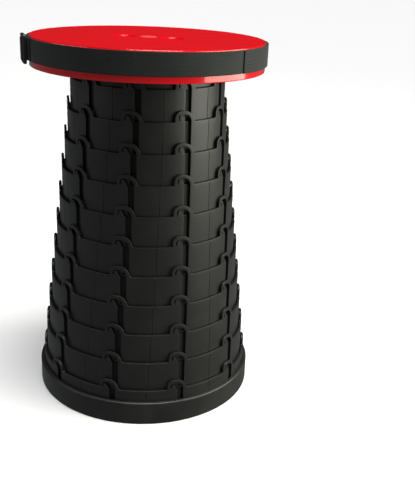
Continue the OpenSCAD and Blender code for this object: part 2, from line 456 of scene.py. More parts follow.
def densified(points: Sequence[Point], longest: float, closed: bool = False) -> list[Point]:
    """Points with more between them.

    Args:
        points: the chain.
        longest: longest chord that is left.
        closed: whether it is a loop.

    Returns:
        The points, with the new ones in their places.
    """
    made: list[Point] = []
    pairs = zip(points, [*points[1:], points[0]] if closed else points[1:])
    for a, b in pairs:
        count = max(1, math.ceil(math.dist(a, b) / longest))
        made += [(a[0] + (b[0] - a[0]) * i / count, a[1] + (b[1] - a[1]) * i / count) for i in range(count)]
    return made if closed else [*made, points[-1]]


def shifted(points: Sequence[Point], distance: float, closed: bool = False) -> list[Point]:
    """A chain moved to its left by a distance, with mitred corners.

    Args:
        points: the chain.
        distance: how far it moves to the left of its direction.
        closed: whether it is a loop.

    Returns:
        As many points.
    """
    made: list[Point] = []
    count = len(points)
    for i, here in enumerate(points):
        normals = []
        for a, b in ((i - 1, i), (i, i + 1)):
            if closed or (a >= 0 and b < count):
                p, q = points[a % count], points[b % count]
                length = math.dist(p, q)
                if length > 1e-9:
                    normals.append(Vector((-(q[1] - p[1]) / length, (q[0] - p[0]) / length)))
        mean = sum(normals, Vector((0.0, 0.0))).normalized()
        stretch = 1.0 / max(0.6, mean.dot(normals[0]))
        made.append((here[0] + mean.x * distance * stretch, here[1] + mean.y * distance * stretch))
    return made


def inside(point: Point, loop: Sequence[Point]) -> bool:
    """Whether a point lies in a loop.

    Args:
        point: the point.
        loop: the loop's points in order.

    Returns:
        True if the point is inside.
    """
    x, y = point
    hit = False
    for (x0, y0), (x1, y1) in zip(loop, [*loop[1:], loop[0]]):
        if (y0 > y) != (y1 > y) and x < (x1 - x0) * (y - y0) / (y1 - y0) + x0:
            hit = not hit
    return hit


def clearance(point: Point, loop: Sequence[Point]) -> float:
    """Distance from a point to the nearest point of a loop."""
    return min(math.dist(point, other) for other in loop)


@dataclass
class Shape:
    """A mesh under construction, with an optional number and UV place for each vertex."""

    name: str
    points: list[Vector] = field(default_factory=list)
    faces: list[tuple[int, ...]] = field(default_factory=list)
    painted_shade: list[float] = field(default_factory=list)
    run: list[Point] = field(default_factory=list)

    def add(self, points: Iterable[Vector], painted_shade: float = 0.0,
            run: Sequence[Point] | None = None) -> list[int]:
        """Adds vertices.

        Args:
            points: their places.
            painted_shade: the painted shade stored on them, 1 in a deep recess where the colour is darkened.
            run: their UV places, if the piece has a pattern that follows it.

        Returns:
            Their numbers.
        """
        start = len(self.points)
        fresh = list(points)
        self.points += fresh
        self.painted_shade += [painted_shade] * len(fresh)
        self.run += list(run) if run else [(0.0, 0.0)] * len(fresh)
        return list(range(start, len(self.points)))

    def bridge(self, low: Sequence[int], high: Sequence[int], closed: bool = False) -> None:
        """Joins two rows of as many vertices with quads.

        Args:
            low: the first row.
            high: the second row.
            closed: whether the rows are loops.
        """
        count = len(low)
        for i in range(count if closed else count - 1):
            j = (i + 1) % count
            self.faces.append((low[i], low[j], high[j], high[i]))

    def skin(self, rows: Sequence[Sequence[int]], closed: bool = False, looped: bool = False) -> None:
        """Joins rows one after another.

        Args:
            rows: the rows in order.
            closed: whether each row is a loop.
            looped: whether the last row is joined to the first.
        """
        for a, b in zip(rows, [*rows[1:], rows[0]] if looped else rows[1:]):
            self.bridge(a, b, closed)

    def fill(self, loops: Sequence[Sequence[int]], flat: Sequence[Sequence[Point]], extra: Sequence[Point],
             lift: Callable[[Point], Vector], flip: bool = False, painted_shade: float = 0.0) -> None:
        """Fills the area inside the first loop and outside the others.

        Args:
            loops: vertex numbers of each loop.
            flat: the flat place of each of those vertices.
            extra: flat places of more vertices inside the area.
            lift: takes a flat place to its place in space.
            flip: whether the faces look the other way.
            painted_shade: the painted shade stored on the new vertices.
        """
        numbers = [n for loop in loops for n in loop] + self.add([lift(p) for p in extra], painted_shade)
        places = [p for loop in flat for p in loop] + list(extra)
        edges, start = [], 0
        for loop in flat:
            edges += [(start + i, start + (i + 1) % len(loop)) for i in range(len(loop))]
            start += len(loop)
        scale = 1000.0
        result = delaunay_2d_cdt([Vector(p) * scale for p in places], edges, [], 0, 1e-7)
        verts, triangles, origins = result[0], result[2], result[3]
        for triangle in triangles:
            x = sum(verts[v].x for v in triangle) / 3 / scale
            y = sum(verts[v].y for v in triangle) / 3 / scale
            if inside((x, y), flat[0]) and not any(inside((x, y), hole) for hole in flat[1:]):
                face = tuple(numbers[origins[v][0]] for v in triangle)
                self.faces.append(face[::-1] if flip else face)

    def lid(self, loops: Sequence[Loop], height: float) -> None:
        """Fills the level area inside the first loop and outside the others.

        Args:
            loops: each loop's vertex numbers and flat places.
            height: height of the area.
        """
        self.fill([row for row, _ in loops], [flat for _, flat in loops], [], lambda p: Vector((*p, height)))

    def closed_box(self, corners: Sequence[Vector], painted_shade: float = 0.0) -> None:
        """Adds a box.

        Args:
            corners: its four lower corners, then its four upper ones, both anticlockwise from above.
            painted_shade: the painted shade stored on its vertices.
        """
        n = self.add(corners, painted_shade)
        for face in ((3, 2, 1, 0), (4, 5, 6, 7), (0, 1, 5, 4), (1, 2, 6, 5), (2, 3, 7, 6), (3, 0, 4, 7)):
            self.faces.append(tuple(n[i] for i in face))

    def mesh(self) -> bpy.types.Mesh:
        """The Blender mesh, with its attributes."""
        made = bpy.data.meshes.new(self.name)
        made.from_pydata(self.points, [], self.faces)
        made.attributes.new(PAINTED_SHADE, "FLOAT", "POINT").data.foreach_set("value", self.painted_shade)
        layer = made.uv_layers.new(name=UV_NAME)
        for loop in made.loops:
            layer.data[loop.index].uv = self.run[loop.vertex_index]
        made.validate()
        return made


def finished(name: str, mesh: bpy.types.Mesh, material: bpy.types.Material, crease: float = 32.0,
             recalculate: bool = False) -> bpy.types.Object:
    """Makes a scene object of a mesh, smooth apart from its creases.

    Args:
        name: the object's name.
        mesh: its mesh.
        material: its finish.
        crease: angle in degrees above which an edge stays sharp.
        recalculate: whether the faces are turned outwards.

    Returns:
        The object, at the origin.
    """
    work = bmesh.new()
    work.from_mesh(mesh)
    bmesh.ops.remove_doubles(work, verts=work.verts, dist=1e-6)
    if recalculate:
        bmesh.ops.recalc_face_normals(work, faces=work.faces)
    work.to_mesh(mesh)
    work.free()
    mesh.shade_smooth()
    mesh.set_sharp_from_angle(angle=math.radians(crease))
    mesh.materials.clear()
    mesh.materials.append(material)
    made = bpy.data.objects.new(name, mesh)
    bpy.context.scene.collection.objects.link(made)
    weighted = made.modifiers.new("weighted", "WEIGHTED_NORMAL")
    weighted.keep_sharp = True
    graph = bpy.context.evaluated_depsgraph_get()
    made.data = bpy.data.meshes.new_from_object(made.evaluated_get(graph))
    made.modifiers.remove(weighted)
    LOG.info("%s: %d faces", name, len(made.data.polygons))
    return made


def lathe(shape: Shape, section: Sequence[Point], steps: int) -> None:
    """Turns a closed section about an upright axis.

    Args:
        shape: the mesh that it is added to.
        section: its points, as radius and height.
        steps: number of facets.
    """
    rows = []
    for i in range(steps):
        a = 2 * math.pi * i / steps
        rows.append(shape.add([Vector((r * math.sin(a), -r * math.cos(a), z)) for r, z in section]))
    shape.skin(rows, closed=True, looped=True)


def merged(name: str, parts: Iterable[bpy.types.Mesh]) -> bpy.types.Mesh:
    """Puts several meshes together in one.

    Args:
        name: the new mesh's name.
        parts: the meshes.

    Returns:
        The new mesh.
    """
    work = bmesh.new()
    for part in parts:
        work.from_mesh(part)
    mesh = bpy.data.meshes.new(name)
    work.to_mesh(mesh)
    work.free()
    return mesh


# ---------------------------------------------------------------- repeating along a circle


class RoundRepeater:
    """Geometry Nodes tree that repeats a mesh round the upright axis."""

    def __init__(self) -> None:
        """Builds the tree once."""
        self.tree = bpy.data.node_groups.new("repeat_round", "GeometryNodeTree")
        self.inputs: dict[str, str] = {}
        self._socket("Geometry", "NodeSocketGeometry")
        self._socket("Count", "NodeSocketInt")
        for name in ("Step", "Start", "Weld"):
            self._socket(name, "NodeSocketFloat")
        self._socket("Material", "NodeSocketMaterial")
        self.tree.interface.new_socket("Geometry", in_out="OUTPUT", socket_type="NodeSocketGeometry")
        self._wire()

    def _socket(self, name: str, kind: str) -> None:
        """Adds one named input."""
        made = self.tree.interface.new_socket(name, in_out="INPUT", socket_type=kind)
        self.inputs[name] = made.identifier

    def _wire(self) -> None:
        """Adds the nodes and their links."""
        nodes, link = self.tree.nodes, self.tree.links.new
        given = nodes.new("NodeGroupInput")
        points = nodes.new("GeometryNodePoints")
        link(given.outputs["Count"], points.inputs["Count"])
        turn = nodes.new("ShaderNodeMath")
        turn.operation = "MULTIPLY_ADD"
        link(nodes.new("GeometryNodeInputIndex").outputs[0], turn.inputs[0])
        link(given.outputs["Step"], turn.inputs[1])
        link(given.outputs["Start"], turn.inputs[2])
        angles = nodes.new("ShaderNodeCombineXYZ")
        link(turn.outputs[0], angles.inputs["Z"])
        rotation = nodes.new("FunctionNodeEulerToRotation")
        link(angles.outputs[0], rotation.inputs[0])
        copies = nodes.new("GeometryNodeInstanceOnPoints")
        link(points.outputs[0], copies.inputs["Points"])
        link(given.outputs["Geometry"], copies.inputs["Instance"])
        link(rotation.outputs[0], copies.inputs["Rotation"])
        real = nodes.new("GeometryNodeRealizeInstances")
        link(copies.outputs[0], real.inputs[0])
        weld = nodes.new("GeometryNodeMergeByDistance")
        link(real.outputs[0], weld.inputs["Geometry"])
        link(given.outputs["Weld"], weld.inputs["Distance"])
        paint = nodes.new("GeometryNodeSetMaterial")
        link(weld.outputs[0], paint.inputs["Geometry"])
        link(given.outputs["Material"], paint.inputs["Material"])
        link(paint.outputs[0], nodes.new("NodeGroupOutput").inputs[0])

    def repeat(self, mesh: bpy.types.Mesh, count: int, start: float, material: bpy.types.Material,
               weld: float = 0.00001, step: float | None = None) -> bpy.types.Mesh:
        """Repeats a mesh in a full circle.

        Args:
            mesh: the mesh, at the front of the stool.
            count: number of copies.
            start: turn of the first copy, in radians.
            material: finish of the result.
            weld: distance within which vertices are joined.
            step: angle from one copy to the next, in radians; a full circle if none is given.

        Returns:
            One plain mesh.
        """
        holder = bpy.data.objects.new("holder", mesh)
        bpy.context.scene.collection.objects.link(holder)
        modifier = holder.modifiers.new("repeat", "NODES")
        modifier.node_group = self.tree
        values = {"Count": count, "Step": step or 2 * math.pi / count, "Start": start, "Weld": weld,
                  "Material": material}
        for name, value in values.items():
            modifier[self.inputs[name]] = value
        holder.update_tag()
        graph = bpy.context.evaluated_depsgraph_get()
        made = bpy.data.meshes.new_from_object(holder.evaluated_get(graph))
        holder.modifiers.remove(modifier)
        bpy.data.objects.remove(holder)
        return made


# ---------------------------------------------------------------- rings


@dataclass
class RingTower:
    """The slotted rings 2 to 12, each one sector repeated round the axis."""

    repeater: RoundRepeater
    finish: MouldedPlastic = MouldedPlastic("ring_plastic")
    count: int = 12
    columns: int = 10
    column_start: float = -2.0
    twist: float = -1.0
    pitch: float = 3.7 * MM
    wall: float = 2.3 * MM
    ear_h: float = 11.0 * MM
    ear_band: float = 3.6 * MM
    ear_corner: float = 7.0 * MM
    hook: float = 7.8 * MM
    slot_w: float = 6.8 * MM
    slot_foot: float = -32.2 * MM
    tooth_w: float = 6.8 * MM
    tooth_h: float = 6.2 * MM
    slit: float = 1.0 * MM
    pocket_foot: float = 1.5 * MM
    fillet: float = 2.5 * MM
    edge: float = 0.45 * MM
    seam_w: float = 0.38 * MM
    seam_d: float = 0.38 * MM
    seam_rows: int = 18
    groove_w: float = 7.7 * MM
    groove_d: float = 0.8 * MM
    groove_top: float = -0.3 * MM
    groove_side: float = 0.05 * MM
    web_w: float = 8.6 * MM
    web_d: float = 0.8 * MM
    web_floor: float = 0.55 * MM
    lug_w: float = 7.0 * MM
    lug_h: float = 4.4 * MM
    lug_reach: float = 1.85 * MM
    mesh_step: float = 4.0 * MM

    def radius(self, k: int) -> float:
        """Outer radius of ring k."""
        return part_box(f"ring_{self.count:02d}")[1].x - (self.count - k) * self.pitch

    def top(self, k: int) -> float:
        """Height of ring k's top edge."""
        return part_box(f"ring_{k:02d}")[1].z - self.ear_h

    def turn(self, k: int) -> float:
        """Angle of ring k's first slot column, in radians."""
        return math.radians(self.column_start + (k - 2) * self.twist)

    @property
    def hook_centre(self) -> Point:
        """Centre of the bend that leads the slot over the tooth."""
        return self.slot_w / 2 - self.hook, self.ear_h - self.ear_band - self.hook

    @property
    def pocket_left(self) -> float:
        """Left edge of the pocket."""
        return -(self.slot_w / 2 + self.tooth_w + self.slit)

    @property
    def lug_at(self) -> float:
        """Centre of a guide lug, from the slot's centre line."""
        return -(self.slot_w / 2 + self.tooth_w / 2 + self.slit)

    def top_chain(self, half: float) -> list[Point]:
        """Top edge of a sector with its ear.

        Args:
            half: half of the sector's width.

        Returns:
            Its points, from right to left.
        """
        left, corner, ear_h = self.pocket_left - self.ear_band, self.ear_corner, self.ear_h
        centre, outer = self.hook_centre, self.hook + self.ear_band
        rise = self.fillet - centre[1]
        reach = math.sqrt((outer + self.fillet) ** 2 - rise ** 2)
        meet = math.degrees(math.atan2(rise, reach))
        root = 0.7 * MM
        return densified([
            (half, 0.0), (half - self.seam_w, 0.0),
            *arc((centre[0] + reach, self.fillet), self.fillet, 270, 180 + meet, 6),
            *arc(centre, outer, meet, 90, 10),
            *arc((left + corner, ear_h - corner), corner, 90, 180, 9),
            *arc((left - root, root), root, 0, -90, 4),
            (self.seam_w - half, 0.0), (-half, 0.0),
        ], self.mesh_step)

    def foot_chain(self, half: float, foot: float) -> list[Point]:
        """Lower edge of a sector, with points at the guide groove's sides.

        Args:
            half: half of the sector's width.
            foot: its height from the ring's top edge.

        Returns:
            Its points, from left to right.
        """
        g, e = self.groove_w / 2, self.groove_side
        stops = [-half, self.seam_w - half, self.lug_at - g - e, self.lug_at - g, self.lug_at + g,
                 self.lug_at + g + e, half - self.seam_w, half]
        return densified([(s, foot) for s in stops], self.mesh_step)

    def slot_loop(self) -> list[Point]:
        """The slot with its hook over the tooth, anticlockwise."""
        half, top = self.slot_w / 2, self.ear_h - self.ear_band
        left, tooth = self.pocket_left, self.pocket_left + self.slit
        corner = self.ear_corner - self.ear_band
        bend = (left + corner, top - corner)
        tip = (tooth + 0.3 * self.tooth_w, self.tooth_h - 0.5 * MM)
        return densified([
            (-half, self.slot_foot), (half, self.slot_foot),
            *arc(self.hook_centre, self.hook, 0, 90, 10),
            *arc(bend, corner, 90, 180, 6),
            (left, self.pocket_foot), (tooth, self.pocket_foot),
            *arc(bend, corner - self.slit, 180, 140, 3),
            *arc(tip, 0.5 * MM, 130, 30, 4),
            (-half, -0.3 * self.tooth_h),
        ], self.mesh_step, closed=True)

    def back_depth(self, place: Point, foot: float) -> float:
        """Depth of the inner face below the outer one, less where the guide groove runs.

        Args:
            place: the flat place.
            foot: height of the ring's lower edge from its top edge.

        Returns:
            The depth.
        """
        in_width = abs(place[0] - self.lug_at) < self.groove_w / 2 + 0.01 * MM
        in_groove = in_width and place[1] < self.groove_top + 0.01 * MM and place[1] >= foot - 0.01 * MM
        return self.wall - (self.groove_d if in_groove else 0.0)

    def grid(self, half: float, foot: float, loops: Sequence[Sequence[Point]]) -> list[Point]:
        """Flat places of vertices inside a sector.

        Args:
            half: half of the sector's width.
            foot: height of the ring's lower edge from its top edge.
            loops: the sector's outline and its slot.

        Returns:
            The places, clear of the loops.
        """
        made = []
        columns = max(2, round(2 * half / self.mesh_step))
        rows = max(2, round((self.ear_h - foot) / self.mesh_step))
        for i in range(1, columns):
            for j in range(1, rows):
                place = (-half + 2 * half * i / columns, foot + (self.ear_h - foot) * j / rows)
                if min(clearance(place, loop) for loop in loops) > 0.45 * self.mesh_step:
                    if inside(place, loops[0]) and not inside(place, loops[1]):
                        made.append(place)
        return made

    def sector(self, k: int) -> bpy.types.Mesh:
        """Mesh of one sector of ring k, with its slot column at the front.

        Args:
            k: the ring's number.

        Returns:
            The mesh.
        """
        r, top = self.radius(k), self.top(k)
        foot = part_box(f"ring_{k:02d}")[0].z - top
        half = math.pi * r / self.columns
        shape = Shape(f"sector_{k:02d}")

        def place(p: Point, depth: float) -> Vector:
            """Bends a flat place round the axis at a depth below the outer face."""
            a = p[0] / r
            near = max(0.0, 1.0 - (half - abs(p[0])) / self.seam_w)
            seam = self.seam_d * near * max(0.0, 1.0 - depth / self.edge)
            return Vector(((r - depth - seam) * math.sin(a), -(r - depth - seam) * math.cos(a), top + p[1]))

        chains = [(self.foot_chain(half, foot), False), (self.top_chain(half), False),
                  (self.slot_loop(), True)]
        b = self.edge
        rows_by_chain, front = [], []
        for number, (chain, closed) in enumerate(chains):
            slot = number == 2
            rows = []
            # Slot edges carry a quarter of the painted shade, and the slot walls carry all of it.
            for inset, depth in ((b, 0.0), (CORNER * b, CORNER * b), (0.0, b)):
                moved = shifted(chain, -inset if slot else inset, closed)
                rows.append(shape.add([place(p, depth) for p in moved], 0.25 if slot and depth == b else 0.0))
                if depth == 0.0:
                    front.append(moved)
            painted_shade = 1.0 if slot else 0.0
            rows.append(shape.add([place(p, self.back_depth(p, foot)) for p in chain], painted_shade))
            shape.skin(rows, closed)
            rows_by_chain.append(rows)

        outline = front[0] + front[1]
        numbers = rows_by_chain[0][0] + rows_by_chain[1][0]
        inner = self.grid(half, foot, [outline, front[2]])
        beside = half - self.seam_w
        levels = [foot * i / self.seam_rows for i in range(1, self.seam_rows)]
        inner += [(side * beside, level) for side in (-1, 1) for level in levels]
        shape.fill([numbers, rows_by_chain[2][0]], [outline, front[2]], inner, lambda p: place(p, 0.0))

        flat = [chains[0][0] + chains[1][0], chains[2][0]]
        numbers = rows_by_chain[0][3] + rows_by_chain[1][3]
        inner = [p for p in self.grid(half, foot, flat) if abs(p[1] - self.groove_top) > MM]
        inner = [p for p in inner if abs(abs(p[0] - self.lug_at) - self.groove_w / 2) > MM]
        g, e, high = self.groove_w / 2, self.groove_side, self.groove_top
        for width, height in ((g, high), (g + e, high + e)):
            rise = [i / 8 for i in range(1, 9)]
            inner += [(self.lug_at + side * width, foot + (height - foot) * t)
                      for side in (-1, 1) for t in rise]
            inner += [(self.lug_at - width + 2 * width * i / 4, height) for i in range(1, 4)]
        shape.fill([numbers, rows_by_chain[2][3]], flat, inner, lambda p: place(p, self.back_depth(p, foot)),
                   flip=True)
        self.web(shape, r, top)
        if k < self.count:
            self.lug(shape, k, r, top + foot)
        return shape.mesh()

    def web(self, shape: Shape, r: float, top: float) -> None:
        """Adds the thin channel that closes the slot at the back.

        Args:
            shape: the mesh that it is added to.
            r: the ring's outer radius.
            top: height of the ring's top edge.
        """
        w, floor = self.web_w / 2, self.slot_w / 2
        section = [(-w, self.wall), (-floor - 0.1 * MM, self.wall), (-floor, self.wall + self.web_floor)]
        section += [(-s, d) for s, d in reversed(section)]
        section += [(w, self.wall + self.web_d), (-w, self.wall + self.web_d)]
        ends = []
        # The channel carries full painted shade, so it shows near-black behind the slot.
        for z in (top + self.slot_foot - MM, top - MM):
            ends.append(shape.add([
                Vector(((r - d) * math.sin(s / r), -(r - d) * math.cos(s / r), z)) for s, d in section
            ], 1.0))
        shape.bridge(ends[0], ends[1], closed=True)
        shape.faces.append(tuple(reversed(ends[0])))
        shape.faces.append(tuple(ends[1]))

    def lug(self, shape: Shape, k: int, r: float, z: float) -> None:
        """Adds the guide lug that runs in the next ring's groove.

        Args:
            shape: the mesh that it is added to.
            k: the ring's number.
            r: the ring's outer radius.
            z: height of the ring's lower edge.
        """
        middle = self.turn(k + 1) - self.turn(k) + self.lug_at / r
        w, taper = self.lug_w / 2 / r, 0.3 * MM
        corners = []
        for height in (z + 0.2 * MM, z + self.lug_h - 0.2 * MM):
            for side, out, cut in ((-1, 0.0, 0.0), (1, 0.0, 0.0), (1, 1.0, taper), (-1, 1.0, taper)):
                a = middle + side * (w - cut / r)
                d = r - 0.3 * MM + out * (self.lug_reach + 0.1 * MM)
                corners.append(Vector((d * math.sin(a), -d * math.cos(a), height)))
        lower, upper = corners[:4], corners[4:]
        shape.closed_box([*reversed(lower), *reversed(upper)])

    def build(self) -> None:
        """Builds rings 2 to 12 and puts each on its body."""
        material = self.finish.material()
        for k in range(2, self.count + 1):
            node = f"ring_{k:02d}"
            mesh = self.repeater.repeat(self.sector(k), self.columns, self.turn(k), material)
            piece = finished(f"{node}_moulded", mesh, material, recalculate=True)
            dress(piece, node, Slot.RING)


def circle(radius: float, steps: int, centre: Point = (0.0, 0.0)) -> list[Point]:
    """Points of a circle, anticlockwise."""
    return arc(centre, radius, 0, 360 * (steps - 1) / steps, steps - 1)


def rim(shape: Shape, loop: Sequence[Point], profile: Sequence[Point]) -> list[Loop]:
    """Sweeps a flat loop through steps of (inward offset, height).

    Args:
        shape: the mesh that it is added to.
        loop: the loop, anticlockwise.
        profile: its offset and height at each step.

    Returns:
        Each row, as its vertex numbers and flat places.
    """
    flats = [shifted(loop, offset, closed=True) for offset, _ in profile]
    rows = [shape.add([Vector((x, y, height)) for x, y in flat]) for flat, (_, height) in zip(flats, profile)]
    shape.skin(rows, closed=True)
    return list(zip(rows, flats))


@dataclass
class SeatCap:
    """The glossy cap: dished finger holes, a recess for the disc, and ribs and bosses underneath."""

    # The disc's red is lightened to pale pink: a painted highlight that stands in for a reflection on it.
    disc_pale_painted_highlight: Colour = (0.95, 0.105, 0.095)
    disc_deep_painted_highlight: Colour = (0.85, 0.085, 0.078)
    plate: float = 3.0 * MM
    wall: float = 2.5 * MM
    bead: float = 0.3 * MM
    bead_w: float = 2.6 * MM
    edge: float = 1.5 * MM
    finger_r: float = 10.0 * MM
    lip_r: float = 13.0 * MM
    finger_gap: float = 52.0 * MM
    finger_turn: float = -8.0
    dish: float = 1.6 * MM
    collar: float = 2.0 * MM
    collar_h: float = 9.0 * MM
    recess_r: float = 9.3 * MM
    recess: float = 1.2 * MM
    rib_h: float = 7.0 * MM
    rib_t: float = 1.8 * MM
    rib_ring_r: float = 44.0 * MM
    spoke_end: float = 63.5 * MM
    boss_r: float = 4.5 * MM
    boss_h: float = 8.0 * MM
    boss_at: float = 70.5 * MM
    screw_r: float = 1.75 * MM
    spokes: int = 6
    steps: int = 192

    def finger_places(self) -> list[Point]:
        """Centres of the two finger holes."""
        a, reach = math.radians(self.finger_turn), self.finger_gap / 2
        return [(side * reach * math.cos(a), side * reach * math.sin(a)) for side in (-1, 1)]

    def rib_outline(self) -> list[Point]:
        """Outer outline of the rib ring with its spokes, anticlockwise."""
        outer, half = self.rib_ring_r + self.rib_t / 2, self.rib_t / 2
        foot = math.degrees(math.asin(half / outer))
        tip = math.degrees(math.asin(half / self.spoke_end))
        step = 360 / self.spokes
        points: list[Point] = []
        for n in range(self.spokes):
            a = n * step - 90
            points += [polar(self.spoke_end, a - tip), polar(self.spoke_end, a + tip)]
            points += arc((0.0, 0.0), outer, a + foot, a + step - foot, 10)
        return points

    def mesh(self) -> bpy.types.Mesh:
        """The cap as one closed mesh."""
        low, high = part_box("seat_cap")
        r, top, lip = high.x, high.z, low.z
        flat, under = top - self.bead, top - self.plate
        shape = Shape("seat_cap_mesh")

        outside = [(self.bead_w + 2 * MM, flat), (self.bead_w + 0.6 * MM, flat),
                   (self.bead_w, flat + 0.06 * MM), (self.bead_w - 0.5 * MM, top - 0.06 * MM),
                   (self.bead_w - 0.9 * MM, top)]
        outside += [(self.edge - 1e-5 - x, top - self.edge + y)
                    for x, y in arc((0.0, 0.0), self.edge, 85, 0, 6)]
        outside += [(0.0, lip + 8 * MM), (0.0, lip + 1.2 * MM), (0.0, lip + 0.5 * MM),
                    (0.15 * MM, lip + 0.15 * MM), (0.5 * MM, lip), (self.wall - 0.5 * MM, lip),
                    (self.wall - 0.15 * MM, lip + 0.15 * MM), (self.wall, lip + 0.5 * MM),
                    (self.wall, under - 1.5 * MM), (self.wall + 0.45 * MM, under - 0.4 * MM),
                    (self.wall + 1.5 * MM, under), (self.wall + 4 * MM, under)]
        rows = rim(shape, circle(r, self.steps), outside)
        upper, lower = [rows[0]], [rows[-1]]

        lip_edge = self.lip_r + 0.6 * MM
        for centre in self.finger_places():
            radii = [(lip_edge + MM, flat), (lip_edge, flat), (self.lip_r, flat - 0.08 * MM),
                     (self.lip_r - 0.8 * MM, flat - 0.5 * MM), (self.finger_r + 1.1 * MM, flat - self.dish),
                     (self.finger_r + 0.35 * MM, flat - self.dish - 0.9 * MM),
                     (self.finger_r, flat - self.dish - 2.2 * MM),
                     (self.finger_r, under - self.collar_h + 0.4 * MM),
                     (self.finger_r + 0.25 * MM, under - self.collar_h),
                     (self.finger_r + self.collar - 0.25 * MM, under - self.collar_h),
                     (self.finger_r + self.collar, under - self.collar_h + 0.3 * MM),
                     (self.finger_r + self.collar, under - 0.8 * MM),
                     (self.finger_r + self.collar + 0.25 * MM, under - 0.2 * MM),
                     (self.finger_r + self.collar + 0.9 * MM, under)]
            rows = rim(shape, circle(lip_edge, 64, centre), [(lip_edge - x, z) for x, z in radii])
            upper.append(rows[0])
            lower.append(rows[-1])

        edge = self.recess_r + 0.4 * MM
        radii = [(edge + MM, flat), (edge, flat), (self.recess_r + 0.1 * MM, flat - 0.1 * MM),
                 (self.recess_r, flat - 0.3 * MM), (self.recess_r, top - self.recess)]
        rows = rim(shape, circle(edge, 64), [(edge - x, z) for x, z in radii])
        upper.append(rows[0])
        shape.lid([rows[-1]], top - self.recess)
        shape.lid(upper, flat)

        foot = under - self.rib_h
        down = [(0.0, under), (0.0, foot + 0.3 * MM), (0.25 * MM, foot)]
        rib_out = rim(shape, self.rib_outline(), down)
        rib_in = rim(shape, circle(self.rib_ring_r - self.rib_t / 2, 96), [(-x, z) for x, z in down])
        shape.lid([rib_out[-1], rib_in[-1]], foot)
        bosses = []
        for n in range(self.spokes):
            centre = polar(self.boss_at, (n + 0.5) * 360 / self.spokes - 90)
            end = under - self.boss_h
            bore = end + 6.9 * MM
            wall = self.boss_r - self.screw_r
            boss = rim(shape, circle(self.boss_r, 32, centre),
                       [(-0.4 * MM, under), (0.0, under - 0.5 * MM), (0.0, end), (wall, end), (wall, bore)])
            shape.lid([boss[-1]], bore)
            bosses.append(boss[0])
        for area in ([rib_in[0], lower[1], lower[2]], [lower[0], rib_out[0], *bosses]):
            shape.lid(area, under)
        return shape.mesh()

    def disc(self) -> bpy.types.Mesh:
        """The plain domed disc between the finger holes."""
        low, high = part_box("centre_disc")
        shape = Shape("centre_disc_mesh")
        profile = [(0.0, low.z), (0.0, high.z - 0.35 * MM), (0.12 * MM, high.z - 0.12 * MM),
                   (0.45 * MM, high.z), (1.0 * MM, high.z), (1.25 * MM, high.z - 0.18 * MM),
                   (1.7 * MM, high.z - 0.22 * MM)]
        profile += [(1.7 * MM + i * 0.9 * MM, high.z - 0.22 * MM + 0.02 * MM * i) for i in range(1, 8)]
        rows = rim(shape, circle(high.x, 72), profile)
        shape.lid([rows[0]], low.z)
        shape.lid([rows[-1]], profile[-1][1])
        return shape.mesh()

    def build(self) -> None:
        """Builds the cap and its disc."""
        cap = GlossCap("cap_plastic", rim_r=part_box("seat_cap")[1].x).material()
        piece = finished("seat_cap_moulded", self.mesh(), cap, 40, recalculate=True)
        dress(piece, "seat_cap", Slot.CAP)
        # Pale pink disc finish: a painted highlight set into its colour.
        disc_painted_highlight = GlossCap("disc_plastic_painted_highlight", self.disc_pale_painted_highlight, self.disc_deep_painted_highlight).material()
        disc = finished("centre_disc_moulded", self.disc(), disc_painted_highlight, 40, recalculate=True)
        dress(disc, "centre_disc", Slot.CAP)


@dataclass
class TopRing:
    """Plain innermost ring, with the flange that the screws hold and ten guide lugs."""

    tower: RingTower
    finish: MouldedPlastic = MouldedPlastic("top_ring_plastic")
    flange_t: float = 3.0 * MM
    flange_in: float = 64.5 * MM
    screw_r: float = 1.95 * MM
    screw_at: float = 70.5 * MM
    screws: int = 6
    steps: int = 240

    def mesh(self) -> bpy.types.Mesh:
        """The ring as one mesh."""
        low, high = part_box("ring_01")
        tower = self.tower
        r = tower.radius(1)
        inner = r - tower.wall
        top = high.z
        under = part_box("seat_cap")[1].z - 14 * MM
        upper = under + self.flange_t
        shape = Shape("ring_01_mesh")
        edge = tower.edge
        outside = [(inner, upper), (inner, top), (r - edge, top), (r - 0.3 * edge, top - 0.3 * edge),
                   (r, top - edge), (r, low.z + edge), (r - 0.3 * edge, low.z + 0.3 * edge),
                   (r - edge, low.z), (inner, low.z), (inner, under)]
        rows = rim(shape, circle(r, self.steps), [(r - x, z) for x, z in outside])
        bore_edge = circle(self.flange_in, 120)
        bore_side = [(0.3 * MM, upper - 0.3 * MM), (0.3 * MM, under + 0.3 * MM), (0.0, under)]
        bore = rim(shape, bore_edge, bore_side)
        mouth = shape.add([Vector((x, y, upper)) for x, y in bore_edge])
        shape.bridge(mouth, bore[0][0], closed=True)
        tops, unders = [rows[0], (mouth, bore_edge)], [rows[-1], bore[-1]]
        for n in range(self.screws):
            centre = polar(self.screw_at, (n + 0.5) * 360 / self.screws - 90)
            hole = rim(shape, circle(self.screw_r, 24, centre), [(0.0, upper), (0.0, under)])
            tops.append(hole[0])
            unders.append(hole[-1])
        shape.lid(tops, upper)
        shape.lid(unders, under)
        return shape.mesh()

    def build(self) -> None:
        """Builds the ring and its lugs."""
        material = self.finish.material()
        tower = self.tower
        lugs = Shape("ring_01_lugs")
        tower.lug(lugs, 1, tower.radius(1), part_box("ring_01")[0].z)
        all_lugs = tower.repeater.repeat(lugs.mesh(), tower.columns, tower.turn(1), material)
        mesh = merged("ring_01_whole", [self.mesh(), all_lugs])
        ring = finished("ring_01_moulded", mesh, material, 40, recalculate=True)
        dress(ring, "ring_01", Slot.RING)


